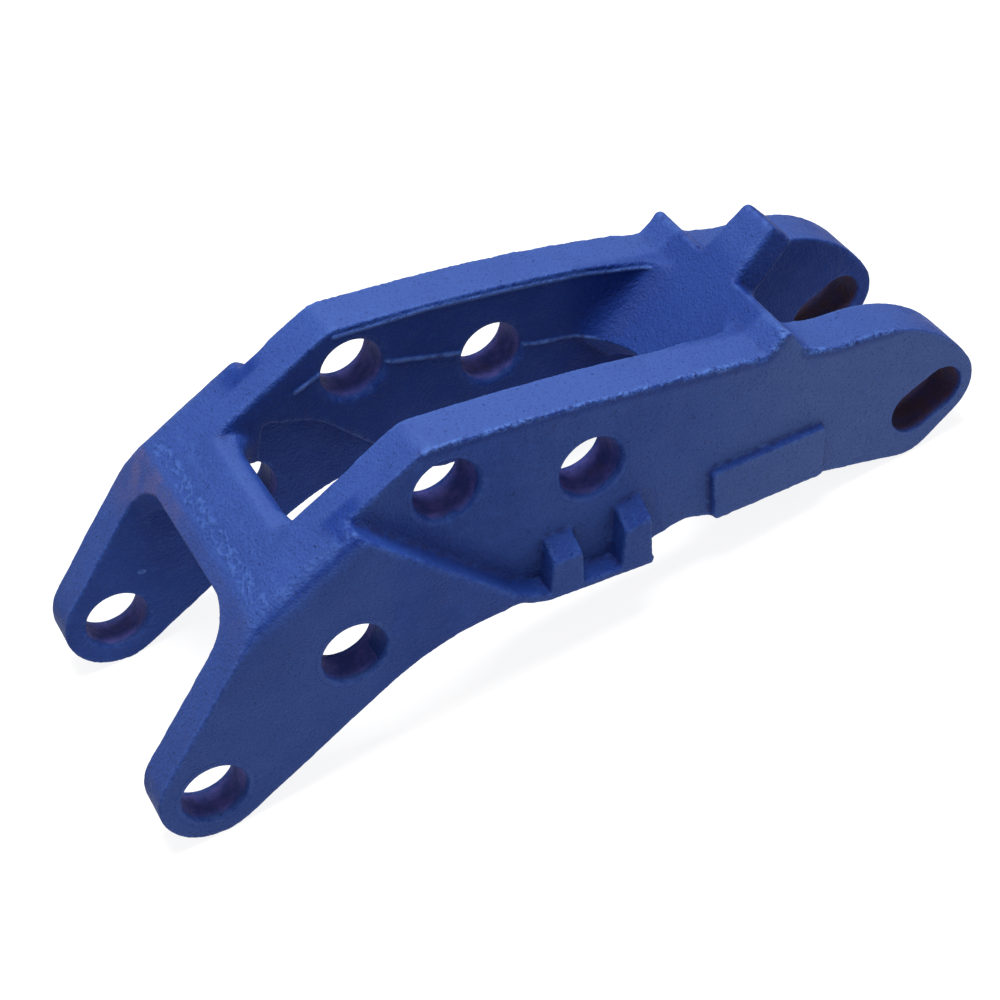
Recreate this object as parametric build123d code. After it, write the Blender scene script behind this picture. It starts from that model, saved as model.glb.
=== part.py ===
from build123d import *
import os
from math import acos, atan2, cos, degrees, hypot, radians, sin, tan

# Quick coupler: one cored steel casting that carries eight pressed-in wear bushes.
#
# Row frame: origin on the front cheek bore's axis, at mid width. +Z is up, +Y runs across the
# coupler, and +X runs from the front ears to the tail. The coupler stands as it lies on a floor, on
# its two ear tips and the undersides of its two tail ears.
#
# Side views are drawn in the bore frame (x, z), where the front and rear cheek bores are level, and
# are then turned down by REST_TILT about the origin.

REST_TILT = 21.5  # degrees, from the bore frame to the standing coupler

# Pin bores and slots, in the bore frame
BORE_R = 19.25  # running bore for a 38 mm pin
BUSH_R = 23.5
EAR_CHAMFER = 1.2  # at the mouths of the ears' bushes
CHEEK_CHAMFER = 2.4
TIP = (-118.0, -173.5)
HEEL = (-46.6, -90.0)
FRONT = (0.0, 0.0)
REAR = (90.6, 0.0)
SLOT_LOW = (322.4, 0.7)
SLOT_HIGH = (337.2, 14.0)
SLOT_R = 15.5

# Widths, from the middle plane
EAR_OUT = 89.5
EAR_IN = 64.5
CHEEK_OUT = 75.0
CHEEK_IN = 44.5
TAIL_OUT = 69.0
TAIL_IN = 38.0
TAPER_START = 121.0  # x where the cheeks start to draw in
TAPER_END = 267.0  # x where the tail ears run straight again
CORE_START = 150.0  # x where the inner faces start to draw in
CORE_END = 200.0
PAD_PROUD = 5.0
PRONG_SLOPE = 33.0  # degrees, of the prongs' tops

# Side outline, in the bore frame
TIP_R = 32.5
BEND = (-108.0, -60.0)
EAR_BACK = (7.3, -89.4)
FLANGE_FRONT = (73.0, -79.0)
FLANGE_BACK = (139.0, -64.5)
CREST = (204.9, 72.6)

# Front plate
PLATE_T = 25.0
PLATE_CREASE = (-82.5, -34.5)
PLATE_FOOT = (-111.8, -69.5)
WINDOW_X = -66.5
WINDOW_R = 16.0  # upright fillets in the window's two front corners
WINDOW_ROLL = 9.5  # rounding of the plate's top edge into the window
WINDOW_FOOT = -56.0
ARCH_R = 24.0  # fillets between the plate's foot and the ears
EAR_ROUND = 12.0  # rounding of the ears' outer edges beside the plate

# Inclined web and its horn
WEB_ANGLE = 57.0
WEB_T = 20.0
WEB_LENGTH = 100.0
WEB_ARCH_R = 68.0
WEB_ARCH_TOP = 71.5  # from the crest down the web to the top of the arch
WEB_FILLET = 22.0  # fillets between the web's front face and the cheeks
HORN_HEIGHT = 37.5
HORN_T = 23.0
HORN_HALF_BASE = 20.4
HORN_HALF_TOP = 15.0
HORN_SHIFT = 4.7  # the horn stands this far right of the middle
HORN_ROUND = 4.0

# Ledge, where each cheek steps out to its ear
LEDGE_START = (-58.0, -10.0)
LEDGE_END = (52.0, -70.5)
FLANGE_T = 5.0

FAR = 400.0  # beyond the part in every direction


def rest(shape):
    """A bore-frame shape turned to where it lies when the coupler rests on the floor."""
    return Rot(0, REST_TILT, 0) * shape


def slab(face, y_low, y_high):
    """The side-view face as a solid from y_low to y_high."""
    return Pos(0, y_high, 0) * extrude(Plane.XZ * face, y_high - y_low)


def both_sides(solid):
    return solid + mirror(solid, about=Plane.XZ)


def outline(*corners):
    """A face from (x, y) or (x, y, radius) corners. Each radius is a tangent arc in its corner."""
    starts, ends, middles = [], [], []
    for i, corner in enumerate(corners):
        here = Vector(corner[0], corner[1])
        before = Vector(*corners[i - 1][:2])
        after = Vector(*corners[(i + 1) % len(corners)][:2])
        back, on = (before - here).normalized(), (after - here).normalized()
        if len(corner) == 2:
            starts.append(here)
            ends.append(here)
            middles.append(None)
            continue
        half = acos(max(-1.0, min(1.0, back.dot(on)))) / 2
        reach = corner[2] / tan(half)
        inward = (back + on).normalized()
        starts.append(here + back * reach)
        ends.append(here + on * reach)
        middles.append(here + inward * (corner[2] / sin(half) - corner[2]))
    edges = []
    for i in range(len(corners)):
        if middles[i] is not None:
            edges.append(ThreePointArc(starts[i], middles[i], ends[i]))
        following = starts[(i + 1) % len(corners)]
        if (following - ends[i]).length > 1e-6:
            edges.append(Line(ends[i], following))
    return make_face(edges)


def tangent_point(outside, centre, radius, side):
    """Where a line from the outside point touches the circle, on the side +1 or -1."""
    dx, dz = outside[0] - centre[0], outside[1] - centre[1]
    angle = atan2(dz, dx) + side * acos(radius / hypot(dx, dz))
    return centre[0] + radius * cos(angle), centre[1] + radius * sin(angle)


def disc(centre, radius):
    return Pos(*centre) * Circle(radius)


def side_outline():
    """Outer profile of a whole side: ear, cheek and tail ear."""
    tip_front = tangent_point(BEND, TIP, TIP_R, 1)
    tip_back = tangent_point(EAR_BACK, TIP, TIP_R, -1)
    side = outline(
        tip_front,
        (*BEND, 12),
        (-19.5, 28.5, 20),
        (95.3, 50.2, 1450),
        (194.6, 56.8, 4),
        (*CREST, 4),
        (224, 57, 12),
        (243, 55, 60),
        (317, 69.5, 94),
        (370.2, 17.2, 27),
        (332.5, -32.5, 28),
        (262, -35, 40),
        (186, -50.5, 10),
        (166, -48.5, 20),
        (147, -58, 6),
        (*FLANGE_BACK, 4),
        (*FLANGE_FRONT, 20),
        (54, -78, 6),
        (*EAR_BACK, 140),
        tip_back,
        TIP,
    )
    return side + disc(TIP, TIP_R)


def ear_zone():
    """Side view of everything below the ledge: the ear and the thin flange behind it."""
    slope = (LEDGE_END[1] - LEDGE_START[1]) / (LEDGE_END[0] - LEDGE_START[0])
    return outline(
        (-FAR, LEDGE_START[1] + slope * (-FAR - LEDGE_START[0])),
        (*LEDGE_END, 14),
        (FLANGE_FRONT[0], FLANGE_FRONT[1] + FLANGE_T),
        (FLANGE_BACK[0], FLANGE_BACK[1] + FLANGE_T),
        (FLANGE_BACK[0], -FAR),
        (-FAR, -FAR),
    )


def core_zone():
    """Side view of the hollow inside the ears, below the step of the cheek's inner face."""
    inside_plate = [(-FAR, -70), (-108, -70), (WINDOW_X - 3, -45), (WINDOW_X - 3, -31)]
    return outline(*inside_plate, (-19.7, -30.5, 50), (66, -80.4), (66, -FAR), (-FAR, -FAR))


def plan(half_front, half_back, x_start, x_end):
    """Upright prism of the plan view: one width in front, a taper, another width behind."""
    half = [(-FAR, half_front), (x_start, half_front), (x_end, half_back), (2 * FAR, half_back)]
    mirrored = [(x, -y) for x, y in reversed(half)]
    face = make_face(Polyline(*half, *mirrored, close=True))
    return Pos(0, 0, -FAR) * extrude(face, 2 * FAR)


def cheeks():
    """Both cheeks and tail ears, with the hollow that widens inside the front ears."""
    solid = slab(side_outline(), -CHEEK_OUT, CHEEK_OUT) - slab(core_zone(), -EAR_IN, EAR_IN)
    solid = rest(solid) & plan(CHEEK_OUT, TAIL_OUT, TAPER_START, TAPER_END)
    return solid - plan(CHEEK_IN, TAIL_IN, CORE_START, CORE_END)


def ears():
    """Both front ears, rounded beside the plate, with the flange that runs on below the prongs."""
    ear = slab(side_outline() & ear_zone(), EAR_IN, EAR_OUT)
    fade = 2 * EAR_ROUND  # below the bend, where the ear falls away, the rounding dies out
    start = (BEND[0] - fade, EAR_OUT, BEND[1] - fade)
    along = Plane(origin=start, x_dir=(0, -1, 0), z_dir=(1, 0, 1))
    inward = 1 if along.y_dir.X > 0 else -1
    middle = EAR_ROUND / 2
    square = Pos(middle - 1, inward * (middle - 1)) * Rectangle(EAR_ROUND + 2, EAR_ROUND + 2)
    round_off = Pos(EAR_ROUND, inward * EAR_ROUND) * Circle(EAR_ROUND)
    return rest(both_sides(ear - extrude(along * (square - round_off), FAR)))


def prong(foot_front, top_front, top_back, foot_back):
    """One upright prong against the cheek. Its top slopes down outwards."""
    block = slab(outline(foot_front, top_front, top_back, foot_back), CHEEK_OUT - 5, EAR_OUT)
    run = Vector(top_back[0] - top_front[0], 0, top_back[1] - top_front[1]).normalized()
    up = Vector(-run.Z, 0, run.X)
    slope = radians(PRONG_SLOPE)
    above = Plane(
        origin=(top_front[0], CHEEK_OUT, top_front[1]),
        x_dir=run,
        z_dir=up * cos(slope) + Vector(0, sin(slope), 0),
    )
    return block - above * Pos(0, 0, FAR / 2) * Box(FAR, FAR, FAR)


def prongs():
    """Two pairs of upright prongs that stand on the flange against the cheeks."""
    fore = prong((73, -78), (69, -43.5), (85.5, -38.5), (95.5, -74))
    aft = prong((118.5, -68), (112, -28.5), (127, -21.5), (139, -64.5, 4))
    return rest(both_sides(fore + aft))


def side_pads():
    """A flat pad on each cheek, following the cheek's taper."""
    pad = outline((174, -16, 3), (251, 3.6, 3), (260, -32, 2), (184.5, -50.5, 3))
    wide = plan(CHEEK_OUT + PAD_PROUD, TAIL_OUT + PAD_PROUD, TAPER_START, TAPER_END)
    return rest(both_sides(slab(pad, TAIL_OUT - 10, EAR_OUT))) & wide


def front_plate():
    """The sloping plate that ties the ears together, rolled over at its top into the window."""
    crease_x, crease_z = PLATE_CREASE
    drop = PLATE_T * 2**0.5  # from the sloping face straight down to the back face
    back_z = WINDOW_X + (crease_z - crease_x) - drop
    foot_back = (PLATE_FOOT[0] + 15.6, PLATE_FOOT[1] - 15.6)
    section = outline(
        PLATE_FOOT,
        (*BEND, 12),
        PLATE_CREASE,
        (WINDOW_X, crease_z + 2, WINDOW_ROLL),
        (WINDOW_X, back_z, 6),
        foot_back,
    )
    return rest(slab(section, -EAR_IN - 1, EAR_IN + 1))


def foot_gussets():
    """Large fillets between the foot of the plate and the inner faces of the ears."""
    up = Vector(1, 0, 1).normalized()
    corner = Plane(origin=(PLATE_FOOT[0], 0, PLATE_FOOT[1]), x_dir=(0, 1, 0), z_dir=(1, 0, -1))
    rise = 1 if corner.y_dir.dot(up) > 0 else -1
    square = Pos(EAR_IN - ARCH_R / 2, -rise * ARCH_R / 2) * Rectangle(ARCH_R + 2, ARCH_R + 2)
    round_off = Pos(EAR_IN - ARCH_R, -rise * ARCH_R) * Circle(ARCH_R)
    gusset = extrude(corner * (square - round_off), PLATE_T * 0.88, both=True)
    return rest(both_sides(gusset & slab(side_outline(), 0, EAR_IN + 1)))


def window_corners():
    """Upright fillets that close the window's front corners, rolled over at the top as the plate is."""
    half = CHEEK_IN - WINDOW_R
    x_back = WINDOW_X + WINDOW_R
    x_front = WINDOW_X - WINDOW_ROLL
    top = PLATE_CREASE[1] + 2
    block = Pos((x_front + x_back) / 2, (half + EAR_IN) / 2)
    corner = block * Rectangle(x_back - x_front, EAR_IN - half) - Pos(x_back, half) * Circle(WINDOW_R)
    upright = Pos(0, 0, WINDOW_FOOT) * extrude(corner, top - WINDOW_FOOT)
    foot = [(x_back, WINDOW_FOOT), (PLATE_CREASE[0], WINDOW_FOOT)]
    upright &= slab(outline(PLATE_CREASE, (WINDOW_X, top), (x_back, top), *foot), 0, EAR_OUT)
    rim = WINDOW_R + WINDOW_ROLL
    square = Pos(rim - WINDOW_ROLL / 2, -WINDOW_ROLL / 2) * Rectangle(WINDOW_ROLL, WINDOW_ROLL)
    roll = Plane.XZ * (square - Pos(rim, -WINDOW_ROLL) * Circle(WINDOW_ROLL))
    rolled = upright - Pos(x_back, half, top) * revolve(roll, Axis.Z)
    beside = Pos((x_front + x_back) / 2, (CHEEK_IN + EAR_IN) / 2, top - WINDOW_ROLL)
    under_cheek = beside * Box(x_back - x_front, EAR_IN - CHEEK_IN, 2 * WINDOW_ROLL + 4)
    return rest(both_sides(rolled + (under_cheek & slab(side_outline(), 0, EAR_OUT))))


def web_frame(along, depth):
    """Plane square to the web, along the web from the crest (up is +) and depth behind its face."""
    up = Vector(cos(radians(WEB_ANGLE)), 0, sin(radians(WEB_ANGLE)))
    behind = Vector(up.Z, 0, -up.X)
    origin = Vector(CREST[0], 0, CREST[1]) + up * along + behind * depth
    return Plane(origin=origin, x_dir=behind, z_dir=up)


def web():
    """The inclined web that ties the cheeks together, arched below."""
    top = web_frame(-2, WEB_T / 2)
    plate = extrude(top * Rectangle(WEB_T, 2 * CHEEK_IN + 2), -WEB_LENGTH)
    reach = WEB_FILLET / 2
    square = Pos(-reach, CHEEK_IN - reach + 1) * Rectangle(WEB_FILLET, WEB_FILLET + 2)
    round_off = Pos(-WEB_FILLET, CHEEK_IN - WEB_FILLET) * Circle(WEB_FILLET)
    corner = extrude(web_frame(0, 0) * (square - round_off), -WEB_LENGTH)
    plate += both_sides(corner & slab(side_outline(), 0, EAR_OUT))
    across = web_frame(-WEB_ARCH_TOP - WEB_ARCH_R, WEB_T / 2)
    facing = Plane(origin=across.origin, x_dir=(0, 1, 0), z_dir=across.x_dir)
    arch = extrude(facing * Circle(WEB_ARCH_R), WEB_T + WEB_FILLET, both=True)
    return rest(plate - arch)


def crest_bar():
    """The web's crest, running across both cheeks."""
    section = outline((188, 46), (194.6, 56.8), (*CREST, 4), (224, 57), (216, 46))
    return rest(slab(section, -CHEEK_IN - 1, CHEEK_IN + 1))


def horn():
    """The tapering stop that stands on the crest."""
    base = web_frame(-14, HORN_T / 2) * Rectangle(HORN_T, 2 * HORN_HALF_BASE)
    head = web_frame(HORN_HEIGHT, HORN_T / 2) * Rectangle(HORN_T, 2 * HORN_HALF_TOP)
    block = Pos(0, HORN_SHIFT, 0) * loft([base.face(), head.face()])
    rounded = block.edges().group_by(SortBy.LENGTH)[-1] + block.faces().sort_by(Axis.Z)[-1].edges()
    return rest(fillet(rounded, HORN_ROUND))


def bore_cuts():
    """Seats of the bushes, right across the coupler, and the two tail slots."""
    cuts = slab(disc(TIP, BUSH_R), -FAR, FAR)
    for centre in (HEEL, FRONT, REAR):
        cuts += slab(disc(centre, BUSH_R), -FAR, FAR)
    middle = [(low + high) / 2 for low, high in zip(SLOT_LOW, SLOT_HIGH)]
    run, rise = SLOT_HIGH[0] - SLOT_LOW[0], SLOT_HIGH[1] - SLOT_LOW[1]
    slot = SlotCenterToCenter(hypot(run, rise), 2 * SLOT_R)
    turned = Pos(*middle) * Rot(0, 0, degrees(atan2(rise, run))) * slot
    return rest(cuts + slab(turned, -FAR, FAR))


def coupler_body():
    solid = cheeks() + ears() + front_plate() + foot_gussets() + window_corners()
    solid = solid + web() + crest_bar() + horn() + prongs() + side_pads()
    return solid - bore_cuts()


def bush(centre, y_low, y_high, bevel):
    """A plain wear bush between two widths, chamfered at both mouths."""
    ring = slab(disc(centre, BUSH_R), y_low, y_high) - slab(disc(centre, BORE_R), -FAR, FAR)
    mouths = ring.edges().filter_by(GeomType.CIRCLE).filter_by(lambda e: e.radius < BORE_R + 1)
    return rest(chamfer(mouths, bevel))


def main():
    os.makedirs("parts", exist_ok=True)
    export_step(coupler_body(), "parts/coupler_body.step")
    rows = {
        "tip": (TIP, EAR_IN, EAR_OUT, EAR_CHAMFER),
        "heel": (HEEL, EAR_IN, EAR_OUT, EAR_CHAMFER),
        "front": (FRONT, CHEEK_IN, CHEEK_OUT, CHEEK_CHAMFER),
        "rear": (REAR, CHEEK_IN, CHEEK_OUT, CHEEK_CHAMFER),
    }
    for name, (centre, inner, outer, bevel) in rows.items():
        export_step(bush(centre, -outer, -inner, bevel), f"parts/{name}_bush_left.step")
        export_step(bush(centre, inner, outer, bevel), f"parts/{name}_bush_right.step")


main()
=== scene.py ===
"""Looks of the quick coupler: a painted sand casting with eight wear bushes, on a pale floor."""

from functools import reduce
from itertools import product
from math import atan2, radians

import bmesh
import bpy
import numpy as np
from mathutils import Matrix, Vector


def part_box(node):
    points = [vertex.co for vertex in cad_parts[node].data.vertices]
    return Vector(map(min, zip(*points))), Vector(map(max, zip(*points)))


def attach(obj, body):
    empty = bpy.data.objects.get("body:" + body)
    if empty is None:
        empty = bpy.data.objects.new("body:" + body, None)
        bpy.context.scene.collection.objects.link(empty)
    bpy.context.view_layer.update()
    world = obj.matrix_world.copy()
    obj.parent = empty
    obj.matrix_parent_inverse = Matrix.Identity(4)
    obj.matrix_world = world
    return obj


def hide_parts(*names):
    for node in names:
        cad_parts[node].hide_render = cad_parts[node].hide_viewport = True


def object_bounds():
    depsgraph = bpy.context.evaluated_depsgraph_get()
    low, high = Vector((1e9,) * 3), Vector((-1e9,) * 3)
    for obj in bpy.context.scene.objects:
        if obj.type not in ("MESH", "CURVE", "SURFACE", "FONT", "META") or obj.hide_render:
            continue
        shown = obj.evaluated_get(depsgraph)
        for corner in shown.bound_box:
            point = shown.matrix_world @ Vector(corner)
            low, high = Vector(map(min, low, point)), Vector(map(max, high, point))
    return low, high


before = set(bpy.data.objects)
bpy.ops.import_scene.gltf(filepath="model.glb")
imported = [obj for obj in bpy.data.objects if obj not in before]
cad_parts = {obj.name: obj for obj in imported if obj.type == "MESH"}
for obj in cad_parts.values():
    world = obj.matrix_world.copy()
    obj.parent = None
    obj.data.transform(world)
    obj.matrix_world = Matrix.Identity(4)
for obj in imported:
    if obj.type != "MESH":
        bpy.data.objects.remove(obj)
cad_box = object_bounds()

MM = 0.001
VOXEL = 0.85 * MM  # size of the casting's mesh cells

# Rounds of smoothing: all over, at generous fillets, and on flats
EDGE_ROUNDS = 9
FILLET_ROUNDS = 34
FLAT_ROUNDS = 24

EAR_ROWS = ("tip", "heel")
CHEEK_ROWS = ("front", "rear")
BUSHES = [f"{row}_bush_{side}" for row in EAR_ROWS + CHEEK_ROWS for side in ("left", "right")]
BUSH_R = 23.5 * MM
BORE_R = 19.25 * MM
EAR_BEVEL = 1.2 * MM  # at the mouths of the ears' bores
CHEEK_BEVEL = 2.4 * MM
BORE_SIDES = 160


def middle(node):
    low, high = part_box(node)
    return (low + high) / 2


# The bore frame: level through the front and rear cheek bores, u towards the tail and w up, in mm
FRONT_BORE = middle("front_bush_left")
REAR_BORE = middle("rear_bush_left")
TILT = atan2(FRONT_BORE.z - REAR_BORE.z, REAR_BORE.x - FRONT_BORE.x)

# Lines of the casting in the bore frame's side view, (u, w) in mm
BEND = (-108, -60)
CREASE = (-82.5, -34.5)
LEDGE = ((-58, -10), (52, -70.5))
CREST_FOOT = ((188, 48), (194.6, 56.8), (224, 57))
SLOT = ((322.4, 0.7), (337.2, 14.0))
SCAR = (-106.4, -139)
PARTING = ((-35, -10), (-22, 0), (-12, 3), (118, 3.5), (150, 6), (172, 9))
TOP_INNER = ((-16, 24), (40, 36), (95, 43.5), (140, 48), (184, 52))
TOP_OUTER = ((-19.5, 28.5), (40, 40), (95, 47.8), (140, 52), (194, 57), (206, 73))
TAIL_TOP = ((224, 57), (243, 55.5), (300, 66), (320, 62))
PLATE_EDGE = ((-58, -10), (-82, -34), (-108, -60))
WEB_ANGLE = radians(57)
CREST = (204.9, 72.6)
TAPER = (121, 267)  # along the row frame's X

# Distances from the middle plane, in mm
CHEEK_IN = 44.5
CHEEK_OUT = 75.0
EAR_IN = 64.5
EAR_OUT = 89.5


def to_bore_frame(points):
    """Row-frame points in metres as (u, y, w) in mm in the bore frame."""
    c, s = np.cos(TILT), np.sin(TILT)
    x, y, z = points.T / MM
    return np.stack([x * c - z * s, y, z * c + x * s], 1)


# ---------------------------------------------------------------- fields over points


def step(low, high, value):
    """0 below low, 1 above high, smooth between. Works both ways round."""
    t = np.clip((value - low) / (high - low), 0, 1)
    return t * t * (3 - 2 * t)


def band(rise, fall, value):
    """1 from the end of rise to the start of fall, 0 outside them, smooth between."""
    return step(*rise, value) * step(*reversed(fall), value)


def noise(points, size, seed):
    """Smooth noise from -1 to 1 with cells of the given size."""
    table = np.random.default_rng(seed).uniform(-1, 1, 4096)
    cell = np.floor(points / size).astype(np.int64)
    part = points / size - cell
    part = part * part * (3 - 2 * part)
    total = np.zeros(len(points))
    for corner in product((0, 1), repeat=3):
        share = np.prod(np.where(corner, part, 1 - part), axis=1)
        total += share * table[hashed(cell + corner) % len(table)]
    return total


def hashed(cells):
    key = cells[:, 0] * 73856093 ^ cells[:, 1] * 19349663 ^ cells[:, 2] * 83492791
    return np.abs(key ^ (key >> 11))


def pits(points, size, radius, chance, seed):
    """Round pits from 0 to 1 deep: at most one to a cell, wholly inside it."""
    random = np.random.default_rng(seed)
    table = random.uniform(-1, 1, (4096, 3))
    luck = random.uniform(0, 1, 4096)
    cell = np.floor(points / size).astype(np.int64)
    which = hashed(cell) % len(luck)
    centre = (cell + 0.5) * size + table[which] * (size / 2 - radius)
    distance = np.linalg.norm(points - centre, axis=1)
    return (luck[which] < chance) * step(1, 0.2, distance / radius)


def from_line(spots, line):
    """Distance in the side view from each spot to a line of (u, w) corners."""
    nearest = np.full(len(spots), np.inf)
    for start, end in zip(line, line[1:]):
        a, b = np.array(start, float), np.array(end, float)
        along = b - a
        t = np.clip((spots[:, [0, 2]] - a) @ along / (along @ along), 0, 1)
        gap = spots[:, [0, 2]] - (a + t[:, None] * along)
        nearest = np.minimum(nearest, np.hypot(*gap.T))
    return nearest


# ---------------------------------------------------------------- mesh helpers


def new_object(name, mesh):
    made = bpy.data.objects.new(name, mesh)
    bpy.context.scene.collection.objects.link(made)
    return made


def apply_modifiers(piece):
    """The piece's mesh, as its modifiers leave it, becomes its own mesh."""
    graph = bpy.context.evaluated_depsgraph_get()
    mesh = bpy.data.meshes.new_from_object(piece.evaluated_get(graph))
    piece.modifiers.clear()
    piece.data = mesh


def cones(name, places):
    """Closed cones along Y in one mesh, from (centre, low Y radius, high Y radius, half length)."""
    made = bmesh.new()
    for centre, low_radius, high_radius, half in places:
        bmesh.ops.create_cone(
            made,
            cap_ends=True,
            segments=BORE_SIDES,
            radius1=high_radius,
            radius2=low_radius,
            depth=2 * half,
            matrix=Matrix.Translation(centre) @ Matrix.Rotation(radians(90), 4, "X"),
        )
    mesh = bpy.data.meshes.new(name)
    made.to_mesh(mesh)
    made.free()
    return new_object(name, mesh)


def boolean(piece, tool, operation):
    modifier = piece.modifiers.new(operation, "BOOLEAN")
    modifier.operation = operation
    modifier.object = tool
    modifier.solver = "MANIFOLD"
    apply_modifiers(piece)


def read(mesh, what, field, width, kind=float):
    values = np.empty(len(getattr(mesh, what)) * width, kind)
    getattr(mesh, what).foreach_get(field, values)
    return values.reshape(-1, width)


def set_points(mesh, points):
    mesh.vertices.foreach_set("co", points.ravel().astype(np.float32))
    mesh.update()


def smooth(points, edges, rounds, weight):
    """Moves each point towards the mean of its neighbours, rounds times, by its weight."""
    n = len(points)
    a, b = edges.T
    degree = np.maximum(np.bincount(a, minlength=n) + np.bincount(b, minlength=n), 1)
    for _ in range(rounds):
        mean = np.empty_like(points)
        for k in range(3):
            column = points[:, k]
            total = np.bincount(a, column[b], n) + np.bincount(b, column[a], n)
            mean[:, k] = total / degree
        points = points + weight[:, None] * (mean - points)
    return points


def write_mask(mesh, name, values):
    layer = mesh.attributes.new(name, "FLOAT", "POINT")
    layer.data.foreach_set("value", values.astype(np.float32))


# ---------------------------------------------------------------- casting


def solid_casting():
    """The CAD casting with its bushes filled in and bored, as one closed mesh."""
    piece = new_object("casting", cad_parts["coupler_body"].data.copy())
    weld = piece.modifiers.new("weld", "WELD")
    weld.merge_threshold = 0.001 * MM
    apply_modifiers(piece)
    for node in BUSHES:
        low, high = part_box(node)
        half = Vector((0, (high.y - low.y) / 2, 0))
        plug_r = BUSH_R + 1 * MM
        bevel = EAR_BEVEL if node.startswith(EAR_ROWS) else CHEEK_BEVEL
        mouth_r = BORE_R + 2 * bevel
        combine(piece, "UNION", middle(node), plug_r, plug_r, half.y + 0.05 * MM)
        combine(piece, "DIFFERENCE", middle(node), BORE_R, BORE_R, half.y + 5 * MM)
        combine(piece, "DIFFERENCE", middle(node) - half, mouth_r, BORE_R, bevel)
        combine(piece, "DIFFERENCE", middle(node) + half, BORE_R, mouth_r, bevel)
    return piece


def combine(piece, operation, *cone):
    """Adds one cone along Y to the piece, or cuts it out."""
    tool = cones("tool", [cone])
    boolean(piece, tool, operation)
    bpy.data.objects.remove(tool)


def remesh(piece, size):
    modifier = piece.modifiers.new("remesh", "REMESH")
    modifier.mode = "VOXEL"
    modifier.voxel_size = size
    apply_modifiers(piece)


def from_bores(spots):
    """Distance in the side view from each spot to the nearest bore's middle."""
    nearest = np.full(len(spots), np.inf)
    width = np.abs(spots[:, 1])
    for row in EAR_ROWS + CHEEK_ROWS:
        u, _, w = to_bore_frame(np.array([middle(f"{row}_bush_left")]))[0]
        gap = np.hypot(spots[:, 0] - u, spots[:, 2] - w)
        beside = width > EAR_IN - 4.5 if row in EAR_ROWS else width < CHEEK_OUT + 5
        nearest = np.where(beside, np.minimum(nearest, gap), nearest)
    return nearest


def soft_places(spots):
    """1 where the pattern was filleted generously: ledge, crest, window, bend and web corners."""
    u, _, w = spots.T
    width = np.abs(spots[:, 1])
    ledge = step(13, 7, from_line(spots, LEDGE)) * step(66, 70, width)
    crest = step(12, 6, from_line(spots, CREST_FOOT)) * step(84, 80, width)
    window = band((-80, -74), (-46, -40), u) * step(-52, -46, w) * step(22, 30, width)
    crease = step(14, 8, np.hypot(u - CREASE[0], w - CREASE[1])) * step(54, 48, width)
    bend = step(18, 12, np.hypot(u - BEND[0], w - BEND[1])) * step(72, 78, width)
    before_web = (u - CREST[0]) * np.sin(WEB_ANGLE) - (w - CREST[1]) * np.cos(WEB_ANGLE)
    web = band((-30, -25), (-5, -2), before_web) * band((16, 20), (45, 47), width) * step(5, 12, w)
    places = ledge + crest + window + crease + bend + web
    return np.clip(places, 0, 1) * step(22, 28, from_bores(spots))


def flash_height(spots, normals):
    """Ridge left by the mould's parting line on the inner faces of the cheeks, 0 to 1."""
    width = np.abs(spots[:, 1])
    inner = band((34, 37), (47, 49), width)
    facing = step(0.5, 0.8, -normals[:, 1] * np.sign(spots[:, 1]))
    wander = 0.8 * noise(spots, 9, 11) + 0.4 * noise(spots, 3, 12)
    ridge = step(1.9, 0.4, np.abs(from_line(spots, PARTING) + wander * 0.6))
    jagged = 0.65 + 0.35 * noise(spots, 2.2, 13)
    lip = 0.7 * step(1.8, 0.3, from_line(spots, TOP_INNER))
    return inner * facing * (ridge * jagged + lip)


def from_outer_edges(spots):
    """Distance in the side view from each spot to the casting's outer edges."""
    lines = (TOP_OUTER, TAIL_TOP, PLATE_EDGE)
    return np.min([from_line(spots, line) for line in lines], axis=0)


def nibbled(spots):
    """1 along the outer edges of the plate, the cheeks' tops and the tail, where flash was chipped off."""
    width = np.abs(spots[:, 1])
    near = from_outer_edges(spots)
    near_side = 1 - 0.7 * step(-1, 1, spots[:, 1])
    return step(5, 2, near) * step(60, 64, width) * near_side


def pocked(spots):
    """1 in a band of gas holes below the top of the right cheek's inner face."""
    inner = band((30, 36), (46, 47), spots[:, 1])
    return inner * step(11, 8, from_line(spots, TOP_INNER)) * step(60, 90, spots[:, 0])


def scar(spots):
    """1 at a scratch on the right ear's inner face."""
    u, y, w = spots.T
    across = np.hypot((u - SCAR[0]) / 2.5, (w - SCAR[1]) / 1.2)
    return band((0.4, 0.6), (0.7, 1.3), across) * band((60, 62), (66, 68), y)


def taper_lines(spots):
    """1 along the upright bends where the cheeks start and stop drawing in."""
    along = spots[:, 0] * np.cos(TILT) + spots[:, 2] * np.sin(TILT)
    outer = band((64, 67), (76, 79), np.abs(spots[:, 1]))
    return outer * sum(step(2.5, 0, np.abs(along - bend)) for bend in TAPER)


def rough_patch(spots, normals):
    """Bands of rough surface across the lower half of the front plate, 0 to 1."""
    up_slope = ((spots[:, 0] - BEND[0]) + (spots[:, 2] - BEND[1])) / 2**0.5
    facing = step(0.5, 0.8, normals @ slope_normal())
    low_band = band((2, 5), (12, 15), up_slope)
    high_band = 0.35 * band((17, 20), (24, 27), up_slope)
    across = band((-84, -76), (70, 80), spots[:, 1])
    return facing * across * (low_band + high_band)


def slope_normal():
    """The front plate's outward direction in the row frame."""
    c, s = np.cos(TILT), np.sin(TILT)
    u, w = -(0.5**0.5), 0.5**0.5
    return np.array([u * c + w * s, 0, -u * s + w * c])


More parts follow.
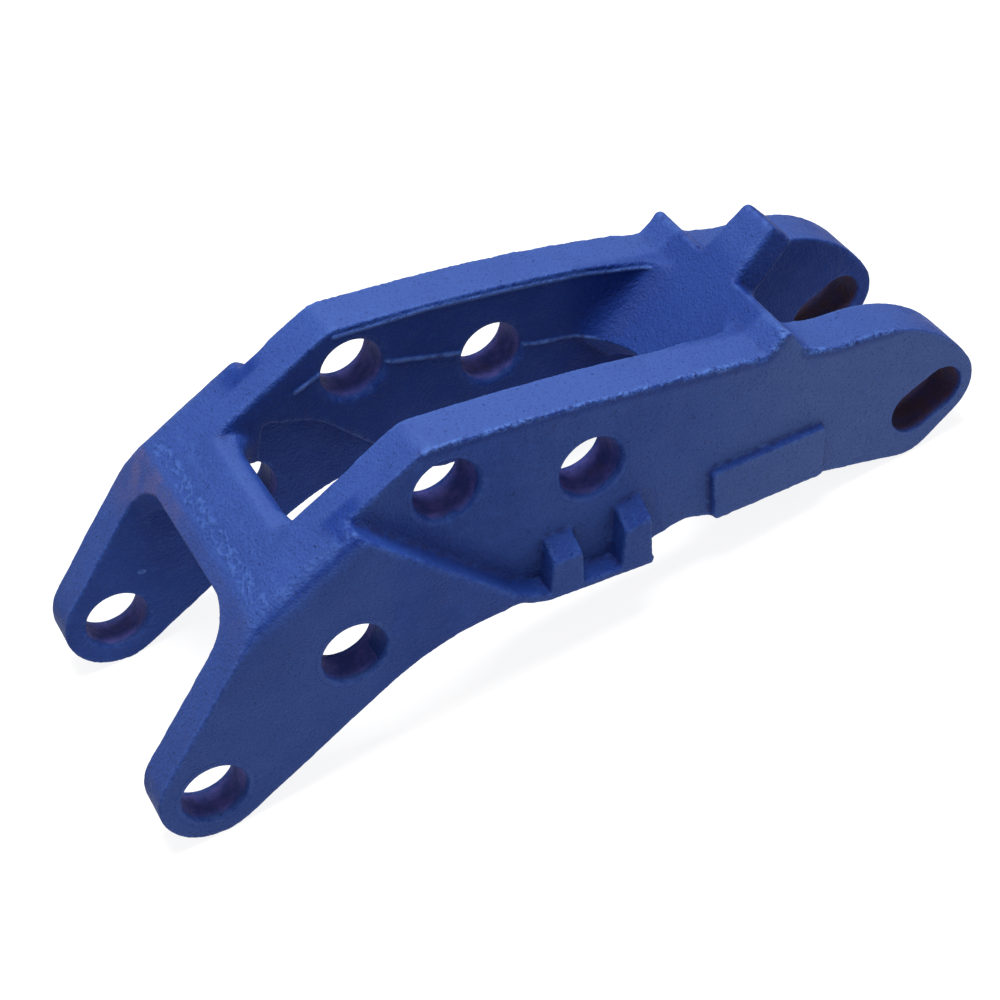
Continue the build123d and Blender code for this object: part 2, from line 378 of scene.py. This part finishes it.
def relief(spots, normals, convex):
    """Height of the cast skin over the CAD surface, in mm."""
    height = 0.16 * noise(spots, 30, 1) + 0.09 * noise(spots, 12, 2)
    height += 0.045 * noise(spots, 4.5, 3) + 0.03 * noise(spots, 2.2, 4)
    height -= 0.45 * pits(spots, 10, 1.3, 0.12, 5)
    height += 0.3 * pits(spots, 13, 1.6, 0.1, 6)
    height -= 0.5 * pits(spots, 4.5, 1.0, 0.3, 15) * pocked(spots)
    height += 0.3 * pits(spots, 7, 1.2, 0.2, 16) * step(150, 170, spots[:, 0])
    chips = 0.6 * noise(spots, 2.4, 7) + 0.4 * noise(spots, 6, 14)
    height += convex * (0.09 * chips + 0.09 * noise(spots, 9, 8))
    height += 0.85 * nibbled(spots) * step(0.2, 0.6, convex) * chips
    height += 0.15 * taper_lines(spots)
    height += 0.7 * rough_patch(spots, normals) * (worms(spots) - 0.4)
    height += 1.1 * flash_height(spots, normals)
    return height * step(19.5, 22, from_bores(spots)) + 0.03 * noise(spots, 2.2, 4)


def worms(spots):
    """1 on the short crooked ridges of the rough patch."""
    return step(0.3, 0.05, np.abs(noise(spots, 3.6, 9) + 0.4 * noise(spots, 2.2, 10)))


def convexity(points, edges, normals):
    """1 on outer edges, -1 in hollows."""
    sunk = np.einsum("ij,ij->i", points - smooth(points, edges, 10, np.full(len(points), 0.5)), normals)
    return np.clip(sunk / (0.16 * MM), -1, 1)


def make_casting():
    """The casting's skin: remeshed, softened at its edges, and given its cast surface."""
    piece = solid_casting()
    remesh(piece, VOXEL)
    mesh = piece.data
    edges = read(mesh, "edges", "vertices", 2, int)
    points = read(mesh, "vertices", "co", 3)
    spots = to_bore_frame(points)
    points = smooth(points, edges, EDGE_ROUNDS, np.full(len(points), 0.5))
    points = smooth(points, edges, FILLET_ROUNDS, 0.5 * soft_places(spots))
    set_points(mesh, points)
    normals = read(mesh, "vertices", "normal", 3)
    flat = step(0.5, 0.1, np.abs(convexity(points, edges, normals)))
    points = smooth(points, edges, FLAT_ROUNDS, 0.5 * flat)
    set_points(mesh, points)
    normals = read(mesh, "vertices", "normal", 3)
    convex = convexity(points, edges, normals)
    spots = to_bore_frame(points)
    points = points + normals * (relief(spots, normals, np.clip(convex, 0, 1)) * MM)[:, None]
    low, high = (np.array(corner) for corner in cad_box)
    set_points(mesh, np.clip(points, low, high))
    write_mask(mesh, "edge", np.clip(convex, 0, 1) * (0.3 + 0.7 * nibbled(spots)))
    write_mask(mesh, "hollow", np.clip(-convex, 0, 1))
    write_mask(mesh, "flash", flash_height(spots, normals) + scar(spots))
    write_mask(mesh, "patch", rough_patch(spots, normals) * worms(spots))
    # painted light: where the paint is made paler as if lit
    write_mask(mesh, "lit_pale", painted_light(spots, normals))
    # painted shade: where the paint is darkened as if in shade
    write_mask(mesh, "shade", painted_shade(spots, normals))
    write_mask(mesh, "bare", bare(spots))
    write_mask(mesh, "slot", slot_walls(spots))
    # painted warm bounce light on the front faces below the bend
    write_mask(mesh, "warm_bounce", painted_bounce(spots, normals))
    return piece


# ---------------------------------------------------------------- where the paint differs, and where light and shade are painted


def bare(spots):
    """1 on the bores' walls, less towards their mouths."""
    width = np.abs(spots[:, 1])
    in_ears = spots[:, 0] < -30
    outer = np.where(in_ears, EAR_OUT, CHEEK_OUT)
    inner = np.where(in_ears, EAR_IN, CHEEK_IN)
    depth = np.minimum(outer - width, width - inner)
    return step(21, 19.8, from_bores(spots)) * step(-0.5, 6, depth)


def slot_walls(spots):
    """1 on the walls of the tail's two slots."""
    width = np.abs(spots[:, 1])
    depth = np.minimum(69 - width, width - 38)
    return step(18, 16.5, from_line(spots, SLOT)) * step(0, 5, depth)


def painted_bounce(spots, normals):
    """Painted warm bounce light: 1 on the front edges just below the bend, most on the right side."""
    c, s = np.cos(TILT), np.sin(TILT)
    forwards = step(0.7, 0.9, normals @ np.array([-c, 0, s]))
    low_front = band((-105, -70), (-62, -56), spots[:, 2])
    return forwards * low_front * (0.15 + 0.85 * step(-10, 50, spots[:, 1]))


def painted_light(spots, normals):
    """Painted light: how much paler the paint is made where light falls, most on the plate and the cheeks'
    front tops, and on the left side, most on the tail's side.
    """
    u, y, w = spots.T
    upwards = step(1.11, 1.665, normals @ (slope_normal() + np.array([0, 0, 1])))
    upwards *= 0.3 + 0.22 * step(-0.25, 0.05, normals[:, 0])
    upwards *= np.where(u > -30, step(5, 15, w), 1)
    upwards *= 1 - step(14, 6, from_line(spots, LEDGE)) * step(62, 66, np.abs(y))
    left = step(0.7, 0.9, -normals[:, 1]) * step(-60, -66, y)
    left *= 0.35 - 0.2 * band((-40, -20), (30, 70), u) + 0.65 * step(110, 250, u)
    return np.clip(upwards + left, 0, 1)


def painted_shade(spots, normals):
    """Painted shade: how much the paint is darkened where shade falls: the web, the horn's side, the ledges,
    the right cheek's inside and the rims of the left side."""
    u, y, w = spots.T
    width = np.abs(y)
    facing_left = -normals[:, 1]
    web = band((125, 150), (205, 215), u) * step(50, 43, width)
    horn = step(198, 204, u) * step(62, 66, w) * step(30, 26, width)
    behind = horn * step(-0.1, 0.4, normals[:, 0])
    ledge = step(20, 4, from_line(spots, LEDGE)) * band((60, 66), (70, 95), width)
    inside = step(0.6, 0.9, facing_left) * step(20, 30, y) * step(60, 50, width)
    rim = step(8, 3, from_outer_edges(spots)) * step(0.4, 0.8, facing_left) * step(-62, -66, y)
    return np.clip(0.42 * web + 0.8 * behind + 0.5 * ledge + 0.3 * inside + 0.5 * rim, 0, 1)


# ---------------------------------------------------------------- bushes


def split_bushes(piece):
    """Cuts the eight bushes out of the casting at their seats, so that they lie flush."""
    reach = 24 * MM  # past both mouths of the widest bush
    seats = cones("seats", [(middle(node), BUSH_R, BUSH_R, reach) for node in BUSHES])
    plugs = new_object("plugs", piece.data.copy())
    boolean(plugs, seats, "INTERSECT")
    boolean(piece, seats, "DIFFERENCE")
    bushes = {node: keep_near(plugs.data, node) for node in BUSHES}
    bpy.data.objects.remove(plugs)
    bpy.data.objects.remove(seats)
    return bushes


def keep_near(mesh, node):
    """A new piece from the part of the mesh that lies around one bush."""
    centre = middle(node)
    made = bmesh.new()
    made.from_mesh(mesh)
    far = [
        v
        for v in made.verts
        if (v.co.x - centre.x) ** 2 + (v.co.z - centre.z) ** 2 > (BUSH_R + 1 * MM) ** 2
        or v.co.y * centre.y < 0
    ]
    bmesh.ops.delete(made, geom=far, context="VERTS")
    kept = bpy.data.meshes.new(f"{node}_skin")
    made.to_mesh(kept)
    made.free()
    return new_object(f"{node}_skin", kept)


def shade_smooth(piece):
    mesh = piece.data
    mesh.polygons.foreach_set("use_smooth", np.ones(len(mesh.polygons), bool))
    mesh.set_sharp_from_angle(angle=radians(60))


# ---------------------------------------------------------------- materials


class Nodes:
    """Short ways of making and joining one material's nodes."""

    def __init__(self, name):
        self.material = bpy.data.materials.new(name)
        self.material.use_nodes = True
        self.tree = self.material.node_tree
        self.shader = self.tree.nodes["Principled BSDF"]
        self.place = self.tree.nodes.new("ShaderNodeTexCoord").outputs["Object"]

    def join(self, source, socket):
        if isinstance(source, bpy.types.NodeSocket):
            self.tree.links.new(source, socket)
        else:
            socket.default_value = source

    def mask(self, name):
        made = self.tree.nodes.new("ShaderNodeAttribute")
        made.attribute_name = name
        return made.outputs["Fac"]

    def noise(self, size_mm, detail=2.0, roughness=0.5):
        made = self.tree.nodes.new("ShaderNodeTexNoise")
        self.join(self.place, made.inputs["Vector"])
        made.inputs["Scale"].default_value = 1000 / size_mm
        made.inputs["Detail"].default_value = detail
        made.inputs["Roughness"].default_value = roughness
        return made.outputs["Fac"]

    def math(self, operation, a, b=0.0):
        made = self.tree.nodes.new("ShaderNodeMath")
        made.operation = operation
        self.join(a, made.inputs[0])
        self.join(b, made.inputs[1])
        return made.outputs[0]

    def span(self, value, low, high, to_low=0.0, to_high=1.0):
        made = self.tree.nodes.new("ShaderNodeMapRange")
        made.interpolation_type = "SMOOTHSTEP"
        self.join(value, made.inputs["Value"])
        ends = (("From Min", low), ("From Max", high), ("To Min", to_low), ("To Max", to_high))
        for socket, number in ends:
            made.inputs[socket].default_value = number
        return made.outputs["Result"]

    def mix(self, factor, a, b):
        made = self.tree.nodes.new("ShaderNodeMix")
        made.data_type = "RGBA"
        self.join(factor, made.inputs["Factor"])
        self.join(a, made.inputs[6])
        self.join(b, made.inputs[7])
        return made.outputs[2]

    def over(self, colour, paint, *shares):
        """The colour with a paint over it, as strong as the product of the shares."""
        return self.mix(reduce(lambda a, b: self.math("MULTIPLY", a, b), shares), colour, paint)

    def bump(self, height, distance_mm, strength, below=None):
        made = self.tree.nodes.new("ShaderNodeBump")
        made.inputs["Strength"].default_value = strength
        made.inputs["Distance"].default_value = distance_mm * MM
        self.join(height, made.inputs["Height"])
        if below is not None:
            self.join(below, made.inputs["Normal"])
        return made.outputs["Normal"]


PAINT = (0.015, 0.042, 0.205, 1)
PAINT_DEEP = (0.011, 0.033, 0.175, 1)
PAINT_PALE = (0.022, 0.060, 0.235, 1)
PAINT_THIN = (0.055, 0.12, 0.36, 1)
# real wear at the scratch, and a painted highlight on the parting ridge and the lip
PAINT_WORN_AND_LIT = (0.08, 0.16, 0.45, 1)
# dark crust for specks and chipped edges, and painted shade in the hollows
CRUST_AND_SHADE = (0.010, 0.016, 0.09, 1)
# painted light: a paler paint for faces where light falls
PAINT_LIT_PALE = (0.042, 0.078, 0.235, 1)
PAINT_SHADED = (0.002, 0.014, 0.12, 1)
METAL = (0.145, 0.115, 0.4, 1)
METAL_DARK = (0.07, 0.07, 0.25, 1)
RUST = (0.14, 0.08, 0.12, 1)
BROWN = (0.06, 0.032, 0.05, 1)
# painted warm bounce light: a greyish-violet tint
BOUNCE_TINT = (0.075, 0.068, 0.17, 1)


def enamel(name):
    """Blue enamel over cast skin, thin over dark metal in the bores and brown in the slots, with painted
    light, painted shade and painted highlights in its colour.
    """
    n = Nodes(name)
    colour = n.mix(n.span(n.noise(38, 3), 0.35, 0.65), PAINT_DEEP, PAINT)
    colour = n.over(colour, PAINT_PALE, n.span(n.noise(7, 3, 0.6), 0.5, 0.75, 0, 0.5))
    colour = n.over(colour, PAINT_PALE, n.span(n.noise(1.1, 2, 0.6), 0.62, 0.74), 0.5)
    # Painted light: paler paint on faces turned up and on the left side
    colour = n.over(colour, PAINT_LIT_PALE, n.mask("lit_pale"))
    # Painted shade: darker paint on the web, the horn's side, the ledges, the right cheek's inside and the
    # left rims
    colour = n.over(colour, PAINT_SHADED, n.mask("shade"))
    colour = n.over(colour, CRUST_AND_SHADE, n.span(n.noise(1.4, 2, 0.6), 0.46, 0.3, 0, 0.5))
    colour = n.over(colour, PAINT_THIN, n.mask("edge"), n.span(n.noise(5, 4, 0.7), 0.4, 0.62), 0.75)
    colour = n.over(colour, CRUST_AND_SHADE, n.mask("edge"), n.span(n.noise(2.2, 3, 0.6), 0.46, 0.4), 0.75)
    # Painted highlight on the parting ridge and the lip where light would catch them, and real wear at the
    # scratch
    colour = n.over(colour, PAINT_WORN_AND_LIT, n.mask("flash"), 0.9)
    colour = n.over(colour, PAINT_THIN, n.mask("patch"), 0.35)
    # Painted shade: darker patches in the hollows
    colour = n.over(colour, CRUST_AND_SHADE, n.mask("hollow"), n.span(n.noise(6, 3), 0.35, 0.6), 0.6)
    colour = n.over(colour, CRUST_AND_SHADE, n.span(n.noise(2.6, 2), 0.24, 0.19), 0.5)
    # Painted warm bounce light: a greyish-violet tint on the front edges below the bend
    colour = n.over(colour, BOUNCE_TINT, n.mask("warm_bounce"), n.span(n.noise(11, 3), 0.3, 0.7, 0.1, 0.6))
    metal = n.mix(n.span(n.noise(8, 3), 0.35, 0.65), METAL_DARK, METAL)
    metal = n.over(metal, RUST, n.span(n.noise(13, 3), 0.58, 0.74, 0, 0.7))
    spray = n.span(n.noise(11, 3, 0.55), 0.3, 0.7, -0.25, 0.25)
    bared = n.span(n.math("ADD", n.mask("bare"), spray), 0.35, 1.1, 0, 0.5)
    colour = n.over(colour, metal, bared)
    colour = n.over(colour, BROWN, n.mask("slot"), n.span(n.noise(9, 3), 0.3, 0.7, 0.6, 0.95))
    n.join(colour, n.shader.inputs["Base Color"])
    roughness = n.span(n.noise(14, 3), 0.3, 0.7, 0.52, 0.66)
    roughness = n.math("ADD", roughness, n.math("MULTIPLY", bared, 0.12))
    n.join(roughness, n.shader.inputs["Roughness"])
    n.shader.inputs["Specular IOR Level"].default_value = 0.08
    coarse = n.bump(n.noise(3.6, 1, 0.5), 0.55, 0.6)
    peel = n.bump(n.noise(1.6, 1, 0.5), 0.75, 1.0, coarse)
    holes = n.bump(n.span(n.noise(2.8, 1), 0.21, 0.29), 0.6, 0.9, peel)
    n.join(holes, n.shader.inputs["Normal"])
    return n.material


# ---------------------------------------------------------------- stage


CAMERA_AT = Vector((-0.2498, -0.8655, 0.7980))
CAMERA_FORWARD = Vector((0.2365, 0.6737, -0.7001))
CAMERA_RIGHT = Vector((0.8732, -0.4634, -0.1509))
CAMERA_LENS = 78.2
KEY_AT = (0.18, 0.05, 1.5)
KEY_TOWARDS = (0.05, 0, 0)
KEY_SIZE = 0.9
KEY_POWER = 44
FLOOR_REACH = 8.0
FLOOR_GREY = 0.2
FLOOR_GLOW = 0.88
WORLD_GLOW = 0.43


def make_camera():
    """The viewing angle: from the left front, above, rolled a little."""
    data = bpy.data.cameras.new("camera")
    data.lens = CAMERA_LENS
    data.sensor_width = 36
    data.clip_start = 0.05
    camera = new_object("camera", data)
    forward = CAMERA_FORWARD.normalized()
    up = CAMERA_RIGHT.cross(forward).normalized()
    turn = Matrix((forward.cross(up), up, -forward)).transposed()
    camera.matrix_world = Matrix.Translation(CAMERA_AT) @ turn.to_4x4()
    bpy.context.scene.camera = camera


def area_light(name, at, towards, size, power):
    data = bpy.data.lights.new(name, "AREA")
    data.shape = "DISK"
    data.size = size
    data.energy = power
    light = new_object(name, data)
    light.location = at
    aim = Vector(towards) - Vector(at)
    light.rotation_euler = aim.to_track_quat("-Z", "Y").to_euler()


def make_floor():
    """A pale light table: it glows a little, so that shadows stay faint."""
    floor_z = cad_box[0][2]
    ways = ((-1, -1), (1, -1), (1, 1), (-1, 1))
    corners = [(x * FLOOR_REACH, y * FLOOR_REACH, floor_z) for x, y in ways]
    mesh = bpy.data.meshes.new("floor")
    mesh.from_pydata(corners, [], [(0, 1, 2, 3)])
    floor = new_object("floor", mesh)
    material = bpy.data.materials.new("floor")
    material.use_nodes = True
    shader = material.node_tree.nodes["Principled BSDF"]
    shader.inputs["Base Color"].default_value = (FLOOR_GREY, FLOOR_GREY, FLOOR_GREY, 1)
    shader.inputs["Roughness"].default_value = 1.0
    shader.inputs["Specular IOR Level"].default_value = 0.0
    shader.inputs["Emission Color"].default_value = (1, 1, 1, 1)
    shader.inputs["Emission Strength"].default_value = FLOOR_GLOW
    mesh.materials.append(material)


def make_light():
    world = bpy.data.worlds.new("world")
    bpy.context.scene.world = world
    world.use_nodes = True
    background = world.node_tree.nodes["Background"]
    background.inputs["Color"].default_value = (1, 1, 1, 1)
    background.inputs["Strength"].default_value = WORLD_GLOW
    area_light("key", KEY_AT, KEY_TOWARDS, KEY_SIZE, KEY_POWER)
    bpy.context.scene.view_settings.view_transform = "Standard"


# ---------------------------------------------------------------- making


def finish_piece(piece, node, material):
    shade_smooth(piece)
    piece.data.materials.clear()
    piece.data.materials.append(material)
    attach(piece, "root")
    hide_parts(node)


make_camera()
make_floor()
make_light()
casting = make_casting()
bushes = split_bushes(casting)
finish_piece(casting, "coupler_body", enamel("painted_casting_paint"))
bush_paint = enamel("bush_steel")
for node, bush in bushes.items():
    finish_piece(bush, node, bush_paint)
